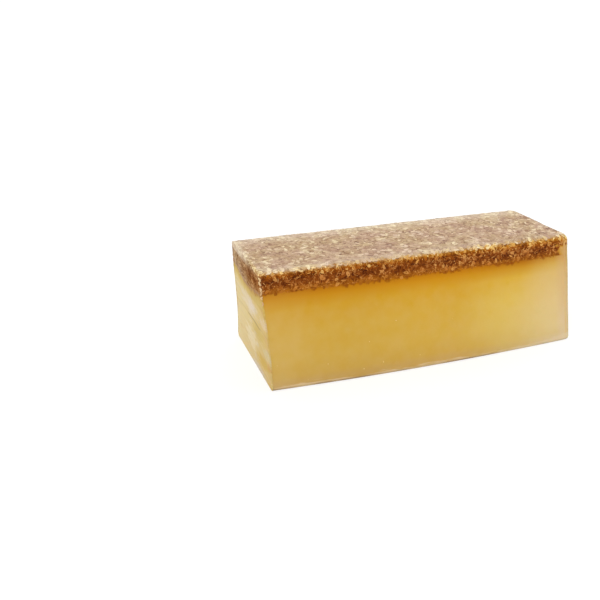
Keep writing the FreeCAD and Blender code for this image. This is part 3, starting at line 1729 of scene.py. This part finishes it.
@dataclass(frozen=True)
class CutSoapFinish:
    """Clear soap where the knife dragged through it: paler, smeared and streaked from side to side.

    The colours are deeper on the near side and paler on the far side, and duller at the foot.
    """

    HIGH = {0.0: (213, 180, 106), 0.5: (220, 194, 130), 1.0: (229, 208, 156)}
    LOW = {0.0: (208, 177, 110), 1.0: (224, 202, 150)}
    SMEAR = {
        0.0: (152, 98, 48), 0.08: (166, 116, 58), 0.17: (188, 144, 70), 0.28: (202, 168, 84),
        0.60: (211, 181, 98),
    }

    across: Span = (-38 * MM, 38 * MM)
    high_from: Span = (2 * MM, 24 * MM)
    broad: Streaks = Streaks((60 * MM, 60 * MM, 5 * MM))
    broad_relief: float = 0.25 * MM
    broad_wash: Wash = Wash(0.55, 0.75, 0.5, swatch(210, 182, 104))
    fine: Streaks = Streaks((18 * MM, 18 * MM, 0.9 * MM), lean=0.05)
    fine_relief: float = 0.12 * MM
    pale_wash: Wash = Wash(0.55, 0.72, 0.36, swatch(238, 224, 192))
    dark_wash: Wash = Wash(0.45, 0.30, 0.40, swatch(192, 158, 84))
    drag_wash: Wash = Wash(0.2, 1.0, 0.3, swatch(180, 150, 94))
    patch_edge: Streaks = Streaks((12 * MM, 12 * MM, 3.2 * MM), rough=0.65, lean=0.12)
    patch_stray: float = 0.7
    smear_depth: float = 16 * MM
    smear_tongue: Streaks = Streaks((2.4 * MM, 2.4 * MM, 9 * MM), detail=3.0)
    smear_stray: Span = (2.6 * MM, -1.2 * MM)
    smear_fade: Span = (0.85, 0.30)
    # Painted sheen that greys the smear near the oat line.
    sheen_fade: Span = (0.20, 0.02)
    sheen_tint: Colour = swatch(180, 148, 116)
    scratch_height: float = 28.3 * MM
    scratch_sway: Drift = Drift(12 * MM, -0.3 * MM, 0.3 * MM)
    scratch_width: Span = (0.45 * MM, 0.12 * MM)
    scratch_near: Span = (-22 * MM, -16 * MM)
    scratch_far: Span = (11 * MM, 5 * MM)
    scratch_share: float = 0.6
    scratch_tint: Colour = swatch(146, 112, 66)
    roughness: Span = (0.32, 0.52)
    gloss: float = 0.02
    scatter: float = 0.20
    scatter_reach: float = 3 * MM
    patches: tuple[Patch, ...] = (
        Patch(-14, 24.5, 17, 6.0, (206, 176, 88), 0.75),
        Patch(-32, 27.0, 9, 5.0, (208, 170, 96), 0.60),
        Patch(2, 37.5, 24, 8.5, (230, 212, 180), 0.75),
        Patch(-3, 38.5, 10, 6.0, (230, 215, 200), 0.65),
        Patch(-29, 36.0, 13, 4.5, (226, 198, 160), 0.75),
        Patch(3, 14.5, 16, 9.0, (232, 214, 174), 0.85),
        Patch(-31, 17.5, 13, 4.0, (214, 196, 152), 0.80),
        Patch(-20, 9.5, 17, 4.8, (208, 172, 78), 0.85),
        Patch(-35, 11.0, 8, 2.0, (206, 150, 84), 0.60),
        Patch(-34, 46.5, 14, 7.0, (200, 158, 78), 0.85),
        Patch(-10, 47.0, 24, 4.5, (200, 174, 92), 0.85),
        Patch(-10, 1.2, 20, 2.6, (210, 194, 172), 0.90),
    )

    def build(self) -> Material:
        """Material of the clear soap's cut face.

        Returns:
            The material.
        """
        r = Recipe("clear_soap_cut")
        broad, fine = self.broad.value(r), self.fine.value(r)
        wander = r.uneven(self.patch_edge.value(r), -self.patch_stray, self.patch_stray)
        colour = self.broad_wash.over(r, self.plain(r), broad)
        for patch in self.patches:
            colour = patch.over(r, colour, wander)
        colour = self.pale_wash.over(r, colour, fine)
        colour = self.dark_wash.over(r, colour, fine)
        colour = self.smeared(r, colour)
        colour = self.drag_wash.over(r, colour, r.mark(Mark.DRAG))
        colour = r.blend(self.scratch(r), colour, self.scratch_tint)
        return r.finish(
            base_color=colour, roughness=r.uneven(fine, *self.roughness), specular_ior_level=self.gloss,
            normal=r.relief(fine, self.fine_relief, r.relief(broad, self.broad_relief)),
            subsurface_weight=self.scatter, subsurface_radius=HONEY_SCATTER,
            subsurface_scale=self.scatter_reach,
        )

    def plain(self, r: Recipe) -> Socket:
        """Colour of the cut soap before the blade's marks.

        Args:
            r: The material that it is for.

        Returns:
            The colour.
        """
        across = r.line(r.axis("Y"), *self.across)
        high = r.span(r.axis("Z"), *self.high_from)
        return r.blend(high, r.ramp(across, self.LOW), r.ramp(across, self.HIGH))

    def scratch(self, r: Recipe) -> Socket:
        """The one thin, dark scratch across the middle of the cut.

        Args:
            r: The material that it is for.

        Returns:
            Its share.
        """
        level = r.maths("SUBTRACT", r.axis("Z"), self.scratch_height)
        off = r.maths("ABSOLUTE", r.plus(level, self.scratch_sway.value(r)), 0.0)
        reach = r.times(r.span(r.axis("Y"), *self.scratch_near), r.span(r.axis("Y"), *self.scratch_far))
        return r.times(r.span(off, *self.scratch_width, 0.0, self.scratch_share), reach)

    def smeared(self, r: Recipe, plain: Socket) -> Socket:
        """Colour with the oats' brown dragged down into the soap, in upright tongues, greyed by a painted
        sheen near the oat line where the frost mark is high.

        Args:
            r: The material that it is for.
            plain: Colour of the soap further down.

        Returns:
            The colour.
        """
        stray = r.uneven(self.smear_tongue.value(r), *self.smear_stray)
        share = r.line(r.plus(r.mark(Mark.BELOW_OATS), stray), 0.0, self.smear_depth)
        # Painted sheen greys the brown near the oat line where the cut is frosted.
        painted_sheen = r.times(r.mark(Mark.FROST), r.span(share, *self.sheen_fade))
        brown = r.blend(painted_sheen, r.ramp(share, self.SMEAR), self.sheen_tint)
        return r.blend(r.span(share, *self.smear_fade), plain, brown)


@dataclass(frozen=True)
class BubbleFinish:
    """Thin skin of soap over an air bubble, whose colour, paler than the soap round it, is a painted
    highlight.
    """

    # Pale tints that paint the bubble's highlight.
    tints: tuple[Colour, Colour] = (swatch(226, 192, 112), swatch(246, 226, 160))
    tint_size: float = 0.4 * MM
    tint_change: Span = (0.3, 0.7)
    ripple_size: float = 0.3 * MM
    ripple_depth: float = 0.01 * MM
    roughness: float = 0.25
    gloss: float = 0.2

    def build(self) -> Material:
        """Material of the bubbles.

        Returns:
            The material.
        """
        r = Recipe("clear_soap_bubble")
        return r.finish(
            base_color=r.blend(r.span(r.cloud(self.tint_size), *self.tint_change), *self.tints),
            roughness=self.roughness, normal=r.relief(r.cloud(self.ripple_size), self.ripple_depth),
            specular_ior_level=self.gloss,
        )


@dataclass(frozen=True)
class OatColours:
    """Shades of oats in honey soap, by how deep under the top and how dry the skin is.

    The ramps of the wet walls go from the top down through the oats; their pale stops near the top are partly
    a painted highlight along the top edge. The two of the dry top go from dark to pale.
    """

    # The pale stops near the top, at 0.0 and 0.15, are partly a painted highlight along the top edge.
    ORANGE = {
        0.0: (240, 208, 130), 0.15: (232, 180, 86), 0.30: (216, 144, 56), 0.52: (188, 118, 56),
        1.0: (188, 114, 44),
    }
    STRAW = {
        0.0: (250, 234, 170), 0.15: (246, 218, 138), 0.30: (236, 190, 108), 0.52: (210, 154, 88),
        1.0: (204, 142, 66),
    }
    HONEY = {
        0.0: (224, 184, 96), 0.15: (194, 130, 34), 0.30: (160, 84, 10), 0.52: (134, 66, 10),
        0.78: (140, 72, 12), 1.0: (166, 98, 18),
    }
    DARK = {
        0.0: (168, 116, 44), 0.15: (124, 68, 12), 0.30: (90, 38, 2), 0.52: (74, 26, 0),
        0.78: (88, 34, 0), 1.0: (126, 64, 6),
    }
    PINKISH = {0.0: (128, 92, 74), 0.3: (174, 138, 116), 0.7: (200, 168, 144), 1.0: (226, 202, 178)}
    YELLOWISH = {0.0: (136, 102, 66), 0.3: (182, 150, 112), 0.7: (208, 184, 144), 1.0: (240, 224, 184)}

    form: LoafForm
    rim_drop: Span = (0.8 * MM, 0.32 * MM)
    drop_along: Span = (-50 * MM, 10 * MM)
    top_depth: Span = (3.5 * MM, 1.0 * MM)
    # Where painted light turns the skin palest: by the top's far and near edges and along the cut's top rim.
    far_edge: Span = (14 * MM, 27 * MM)
    near_edge: Span = (-22 * MM, -26 * MM)
    near_shares: Span = (0.4, 0.1)
    near_along: Span = (20 * MM, 50 * MM)
    cut_edge: Span = (2.5 * MM, 1.0 * MM)
    cut_depth: Span = (5.5 * MM, 3.5 * MM)
    cut_across: Span = (-8 * MM, 10 * MM)
    cut_share: float = 0.9
    # Painted light: how far the palest skin is lifted in tone and whitened.
    edge_light_tone: float = 0.26
    edge_light_share: float = 0.24
    edge_light_tint: Colour = swatch(236, 226, 206)
    cast_size: float = 14 * MM
    cast_change: Span = (0.36, 0.64)
    cast_share: float = 0.5
    yellow_frost: Span = (0.4, 1.0)
    yellow_share: float = 0.9

    def colour(self, r: Recipe, tone: Socket, frost: Socket, hue: Socket) -> Socket:
        """Colour of an oat or of the soap between oats.

        Args:
            r: The material that it is for.
            tone: Shade from 0, a dark gap, over 0.5, soaked brown, to 1, a pale flake.
            frost: Dryness from 0 to 1.
            hue: Cast from 0, pinkish, to 1, straw yellow.

        Returns:
            The colour.
        """
        lower = r.line(r.axis("X"), *self.drop_along, *self.rim_drop)
        level = r.maths("SUBTRACT", r.axis("Z"), lower)
        deep = r.line(level, self.form.height, self.form.height - self.form.oat_depth)
        orange, straw, honey, dark = (
            r.ramp(deep, stops) for stops in (self.ORANGE, self.STRAW, self.HONEY, self.DARK))
        soaked = r.blend(r.line(tone, 0.0, 0.5), dark, honey)
        wet = r.blend(r.line(tone, 0.5, 1.0), soaked, r.blend(hue, orange, straw))
        return r.blend(frost, wet, self.dry(r, tone, frost, hue))

    def dry(self, r: Recipe, tone: Socket, frost: Socket, hue: Socket) -> Socket:
        """Colour of the dry top, whose cast drifts over it and turns yellow by the wet walls, with painted
        light on its edges.

        Args:
            r: The material that it is for.
            tone: Shade from 0 to 1.
            frost: Dryness from 0 to 1.
            hue: The flake's own cast from 0 to 1.

        Returns:
            The colour.
        """
        # Painted light: the skin is paler and whiter along the top's edges and the cut's rim.
        edge = self.edge(r)
        tone = r.plus(tone, r.times(edge, self.edge_light_tone))
        drift = r.span(r.cloud(self.cast_size), *self.cast_change, 0.0, self.cast_share)
        share = r.plus(drift, r.times(hue, 1 - self.cast_share))
        share = r.plus(share, r.line(frost, *self.yellow_frost, self.yellow_share, 0.0))
        colour = r.blend(share, r.ramp(tone, self.PINKISH), r.ramp(tone, self.YELLOWISH))
        return r.blend(r.times(edge, self.edge_light_share), colour, self.edge_light_tint)

    def edge(self, r: Recipe) -> Socket:
        """Share of the painted light that turns the skin palest: by the top's far edge, a little by its near
        one, and on the cut's rim.

        Args:
            r: The material that it is for.

        Returns:
            The share.
        """
        top = self.form.height
        x, y, z = (r.axis(name) for name in "XYZ")
        near = r.times(r.line(y, *self.near_edge), r.line(x, *self.near_along, *self.near_shares))
        on_top = r.span(z, *(top - depth for depth in self.top_depth))
        edge = r.times(r.plus(r.line(y, *self.far_edge), near), on_top)
        by_cut = r.span(x, *(self.form.cut_x(top) + width for width in self.cut_edge))
        on_cut = r.times(by_cut, r.span(z, *(top - depth for depth in self.cut_depth)))
        return r.maths("MAXIMUM", edge, r.times(on_cut, r.line(y, *self.cut_across, 0.0, self.cut_share)))


@dataclass(frozen=True)
class OatSoapFinish:
    """Soap packed with oats, as seen between the flakes that lie in its skin.

    It mixes two grains, each given by its stretch and its turn, and turns amber where it is bare of oats.
    """

    AMBER = {0.2: (172, 100, 22), 0.6: (198, 144, 54), 1.0: (204, 157, 88)}

    form: LoafForm
    name: str
    gloss: float
    grain_size: float = 1.7 * MM
    first_grain: tuple[Triple, Triple] = ((1.0, 1.0, 0.45), (0.25, 0.15, 0.0))
    second_grain: tuple[Triple, Triple] = ((0.40, 1.0, 1.0), (0.0, 0.3, 0.7))
    grain_mix_size: float = 4 * MM
    grain_mix: Span = (0.42, 0.58)
    grain_depth: float = 0.30 * MM
    bran_size: float = 0.6 * MM
    bran_change: Span = (0.25, 0.65)
    bran_shares: Span = (0.25, 0.9)
    bran_depth: float = 0.10 * MM
    patches: Drift = Drift(6 * MM, -0.18, 0.18, reach=0.15)
    bare_edge: Drift = Drift(2.0 * MM, -0.2, 0.2)
    bare_change: Span = (0.15, 0.45)
    roughness: Span = (0.34, 0.55)
    scatter: float = 0.10
    scatter_radius: Triple = (1.0, 0.5, 0.2)
    scatter_reach: float = 1 * MM

    def build(self) -> Material:
        """Material of the oat layer's block.

        Returns:
            The material.
        """
        r = Recipe(self.name)
        first, first_gap = r.grains(self.grain_size, r.stretched(*self.first_grain))
        second, second_gap = r.grains(self.grain_size, r.stretched(*self.second_grain))
        bran = r.cloud(self.bran_size, 3.0)
        grain = r.blend(r.span(r.cloud(self.grain_mix_size), *self.grain_mix), first, second)
        grain = r.times(grain, r.span(bran, *self.bran_change, *self.bran_shares))
        frost = r.mark(Mark.FROST)
        oats = OatColours(self.form).colour(r, r.plus(grain, self.patches.value(r)), frost, second)
        bare = r.plus(r.mark(Mark.CLEAR), self.bare_edge.value(r))
        amber = r.ramp(bare, self.AMBER)
        for stripe in CORNER_STRIPES:
            amber = stripe.over(r, amber)
        height = r.maths("SUBTRACT", 1.0, r.blend(0.5, first_gap, second_gap))
        return r.finish(
            base_color=r.blend(r.span(bare, *self.bare_change), oats, amber),
            roughness=r.line(frost, 0.0, 1.0, *self.roughness), specular_ior_level=self.gloss,
            normal=r.relief(bran, self.bran_depth, r.relief(height, self.grain_depth)),
            subsurface_weight=self.scatter, subsurface_radius=self.scatter_radius,
            subsurface_scale=self.scatter_reach,
        )


@dataclass(frozen=True)
class FlakeFinish:
    """Single oat flakes in or just under the skin."""

    form: LoafForm
    name: str
    gloss: float
    bran_size: float = 0.5 * MM
    bran_depth: float = 0.06 * MM
    bran_tones: Span = (-0.12, 0.12)
    patches: Drift = Drift(6 * MM, -0.12, 0.12, reach=0.15)
    roughness: Span = (0.36, 0.56)

    def build(self) -> Material:
        """Material of the flakes.

        Returns:
            The material.
        """
        r = Recipe(self.name)
        frost = r.mark(Mark.FROST)
        bran = r.cloud(self.bran_size, 3.0)
        tone = r.plus(r.mark(Mark.TONE), r.uneven(bran, *self.bran_tones))
        tone = r.plus(tone, self.patches.value(r))
        return r.finish(
            base_color=OatColours(self.form).colour(r, tone, frost, r.mark(Mark.HUE)),
            roughness=r.line(frost, 0.0, 1.0, *self.roughness), normal=r.relief(bran, self.bran_depth),
            specular_ior_level=self.gloss,
        )


@dataclass(frozen=True)
class Lamp:
    """A far-off soft lamp, as wide in the loaf's sky as a large window."""

    name: str
    way: Triple
    width: float
    level: float

    def hang(self) -> None:
        """Hangs the lamp, which lights a facing white card to its level."""
        data = bpy.data.lights.new(self.name, "SUN")
        data.angle = self.width
        data.energy = self.level * math.pi
        lamp = bpy.data.objects.new(self.name, data)
        lamp.rotation_euler = Vector(self.way).to_track_quat("Z", "Y").to_euler()
        lamp.location = self.way
        bpy.context.scene.collection.objects.link(lamp)


@dataclass(frozen=True)
class Studio:
    """White table and surround, soft lamps, and the camera."""

    floor_size: float = 40.0
    floor_squares: int = 8
    surround: float = 0.60
    bounce: float = 0.85
    seen_bounce: float = 0.45
    seen_glow: float = 0.60
    eye: Triple = (-0.191475, -0.386811, 0.205002)
    heading: float = math.radians(17.909)
    dip: float = math.radians(22.711)
    bank: float = math.radians(-0.695)
    lens: float = 45.53
    nearest: float = 0.01
    lamps: tuple[Lamp, ...] = (
        Lamp("lamp_over_left", (-0.45, -0.55, 0.70), math.radians(45), 0.50),
        Lamp("lamp_over_right", (0.50, 0.45, 0.74), math.radians(60), 0.18),
    )

    def build(self) -> None:
        """Sets up the whole studio."""
        bpy.context.scene.view_settings.view_transform = "Standard"
        self.lay_floor()
        self.light_surround()
        for lamp in self.lamps:
            lamp.hang()
        self.set_camera()

    def lay_floor(self) -> None:
        """Lays the white table."""
        mesh = bmesh.new()
        squares = self.floor_squares
        bmesh.ops.create_grid(mesh, x_segments=squares, y_segments=squares, size=self.floor_size / 2)
        data = bpy.data.meshes.new("table")
        mesh.to_mesh(data)
        mesh.free()
        data.materials.append(self.table_white())
        table = bpy.data.objects.new("table", data)
        bpy.context.scene.collection.objects.link(table)
        table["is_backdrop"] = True

    def table_white(self) -> Material:
        """Finish of the table, whose own glow takes it to white in the open and leaves the loaf's shadow.

        Returns:
            The material.
        """
        material = bpy.data.materials.new("table_white")
        material.use_nodes = True
        tree = Tree(material.node_tree)
        tree.tree.nodes.clear()
        lit, shown = tree.node("BsdfDiffuse"), tree.node("BsdfDiffuse")
        for shader, grey in ((lit, self.bounce), (shown, self.seen_bounce)):
            tree.join((grey, grey, grey, 1.0), shader.inputs["Color"])
        glow = tree.node("Emission")
        tree.join(self.seen_glow, glow.inputs["Strength"])
        add, mix = tree.node("AddShader"), tree.node("MixShader")
        tree.join(shown.outputs[0], add.inputs[0])
        tree.join(glow.outputs[0], add.inputs[1])
        for index, source in enumerate((tree.seen(), lit.outputs[0], add.outputs[0])):
            tree.join(source, mix.inputs[index])
        tree.join(mix.outputs[0], tree.node("OutputMaterial").inputs["Surface"])
        return material

    def light_surround(self) -> None:
        """Lights the surround, which looks white and lights the loaf at a plain level."""
        world = bpy.data.worlds.new("white_surround")
        bpy.context.scene.world = world
        world.use_nodes = True
        tree = Tree(world.node_tree)
        back = world.node_tree.nodes["Background"]
        tree.join((1.0, 1.0, 1.0, 1.0), back.inputs["Color"])
        level = tree.node("MapRange")
        tree.join(self.surround, level.inputs["To Min"])
        tree.join(1.0, level.inputs["To Max"])
        tree.join(tree.seen(), level.inputs["Value"])
        tree.join(level.outputs["Result"], back.inputs["Strength"])

    def set_camera(self) -> None:
        """Stands the camera to the left of the loaf's long side, looking down on it."""
        data = bpy.data.cameras.new("camera")
        data.lens = self.lens
        data.clip_start = self.nearest
        data.clip_end = self.floor_size * 2
        camera = bpy.data.objects.new("camera", data)
        turn = Matrix.Rotation(-self.heading, 4, "Z")
        tilt = Matrix.Rotation(math.pi / 2 - self.dip, 4, "X")
        roll = Matrix.Rotation(self.bank, 4, "Z")
        camera.matrix_world = Matrix.Translation(self.eye) @ turn @ tilt @ roll
        bpy.context.scene.collection.objects.link(camera)
        bpy.context.scene.camera = camera


@dataclass(frozen=True)
class SoapLoaf:
    """The whole loaf, from its two poured layers to the flakes in its skin."""

    form: LoafForm
    cast_gloss: float = 0.07
    cut_gloss: float = 0.0
    stray: float = 0.5
    cut_rim: float = 2.4 * MM
    oats_end: Span = (-math.inf, 0.25)

    def build(self) -> Iterator[Piece]:
        """Builds and dresses every piece.

        Returns:
            The pieces, one after another.
        """
        form = self.form
        cut_soap = CutSoapFinish().build()
        flake = FlakeFinish(form, "oat_flakes_cast", self.cast_gloss).build()
        dragged = FlakeFinish(form, "oat_flakes_dragged", self.cut_gloss).build()
        soap = Layer(
            form, "clear_soap_block", "clear_soap_base", above=False, slot=Slot.CLEAR,
            relief=Relief(0.14 * MM, 30 * MM, 0.03 * MM, 7 * MM), spacing=3.0 * MM, cut_spacing=1.0 * MM,
        ).build([ClearSoapFinish(form).build(), cut_soap])
        yield soap
        oats = Layer(
            form, "oat_layer_block", "oat_layer", above=True, slot=Slot.OATS,
            relief=Relief(0.10 * MM, 25 * MM, 0.16 * MM, 3.2 * MM, groove=0.05 * MM), spacing=1.8 * MM,
            cut_spacing=0.9 * MM,
        ).build([
            OatSoapFinish(form, "oat_soap_packed", self.cast_gloss).build(),
            OatSoapFinish(form, "oat_soap_sliced", self.cut_gloss).build(),
        ])
        yield oats
        tray = Tray.fitted(form, [soap, oats])
        for layer, beds in ((oats, self.oat_beds()), (soap, self.soap_beds())):
            for bed in beds:
                yield bed.build(layer, tray, flake if bed.upright is None else dragged)
        edge = CutEdge(form, tray)
        yield edge.flakes(dragged)
        yield edge.burr(cut_soap)
        low_wall = Zone(form, Skin.CAST, facing=(-0.3, 0.3), depth=(32 * MM, 63 * MM))
        yield Bubbles(low_wall).build(soap, BubbleFinish().build())

    def oat_beds(self) -> list[FlakeBed]:
        """Fields of flakes in the oat layer: on the top, the walls and the cut, and along the rims.

        Returns:
            The fields.
        """
        cast = Zone(self.form, Skin.CAST)
        wall = replace(cast, facing=(-0.5, 0.8), clear=self.oats_end)
        by_cut = (-math.inf, self.form.cut_x(self.form.height) + self.cut_rim)
        return [
            FlakeBed(
                "oat_flakes_top", replace(cast, facing=(0.8, math.inf)), count=9000, spacing=1.55 * MM,
                seed=11, mix={FlakeLie.PRESSED: 0.82, FlakeLie.CRUMB: 0.18}, pale=0.4, soaked=(0.28, 0.62),
                dry=(0.58, 0.96),
            ),
            FlakeBed(
                "oat_flakes_walls", wall, count=9500, spacing=0.95 * MM, seed=12,
                mix={FlakeLie.FLAT: 0.24, FlakeLie.ON_EDGE: 0.64, FlakeLie.CRUMB: 0.12}, pale=0.38,
            ),
            FlakeBed(
                "oat_flakes_shoulder", replace(wall, depth=(4.0 * MM, 7.4 * MM), along=(48 * MM, math.inf)),
                count=150, spacing=1.6 * MM, seed=16, mix={FlakeLie.FLAT: 0.3, FlakeLie.ON_EDGE: 0.7},
                pale=1.0, dry=(0.80, 1.15),
            ),
            FlakeBed(
                "oat_flakes_low_band", replace(wall, depth=(5.5 * MM, 11 * MM)), count=40, spacing=6.0 * MM,
                seed=19, mix={FlakeLie.PRESSED: 0.4, FlakeLie.FLAT: 0.6}, pale=1.0, dry=(0.85, 1.10),
            ),
            # Pale flakes along the cut's top rim, partly oats and partly a painted highlight along that rim.
            FlakeBed(
                "oat_flakes_cut_rim", Zone(self.form, None, depth=(-math.inf, 2.0 * MM), along=by_cut),
                count=170, spacing=1.3 * MM, seed=17, mix={FlakeLie.FLAT: 0.5, FlakeLie.ON_EDGE: 0.5},
                pale=1.0, dry=(0.95, 1.2), hues=(0.7, 1.0),
            ),
            FlakeBed(
                "oat_flakes_rim", replace(cast, facing=(0.3, 0.85)), count=260, spacing=2.2 * MM, seed=18,
                mix={FlakeLie.FLAT: 0.3, FlakeLie.ON_EDGE: 0.45, FlakeLie.CRUMB: 0.25}, pale=1.0,
                dry=(0.45, 0.9), hues=(0.6, 1.0),
            ),
            FlakeBed(
                "oat_flakes_cut", Zone(self.form, Skin.CUT), count=1500, spacing=1.1 * MM, seed=13,
                mix={FlakeLie.FLAT: 0.15, FlakeLie.ON_EDGE: 0.65, FlakeLie.CRUMB: 0.20}, pale=0.35,
                upright=self.stray,
            ),
        ]

    def soap_beds(self) -> list[FlakeBed]:
        """Fields of flakes that trail into the clear soap, just below the oat line.

        Returns:
            The fields.
        """
        fringe = Zone(
            self.form, Skin.CAST, facing=(-0.5, 0.5), under_oats=(-math.inf, 1.6 * MM), clear=self.oats_end)
        smear = Zone(self.form, Skin.CUT, under_oats=(-math.inf, 3.2 * MM))
        return [
            FlakeBed(
                "oat_flakes_fringe", fringe, count=380, spacing=1.6 * MM, seed=14,
                mix={FlakeLie.FLAT: 0.25, FlakeLie.ON_EDGE: 0.4, FlakeLie.CRUMB: 0.35}, pale=0.25,
            ),
            FlakeBed(
                "oat_flakes_smear", smear, count=150, spacing=1.4 * MM, seed=15,
                mix={FlakeLie.ON_EDGE: 0.7, FlakeLie.CRUMB: 0.3}, pale=0.3, upright=self.stray,
            ),
        ]


def write_sizes() -> None:
    boxes = {"cad": cad_box, "visual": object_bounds()}
    {name: [list(corner) for corner in box] for name, box in boxes.items()}


def main() -> None:
    """Builds the studio and the loaf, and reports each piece."""
    logging.basicConfig(level=logging.INFO, format="%(name)s %(message)s")
    Studio().build()
    for piece in SoapLoaf(LoafForm.from_frame()).build():
        log.info("%s: %d faces", piece.name, len(piece.data.polygons))
    write_sizes()


if __name__ == "__main__":
    main()
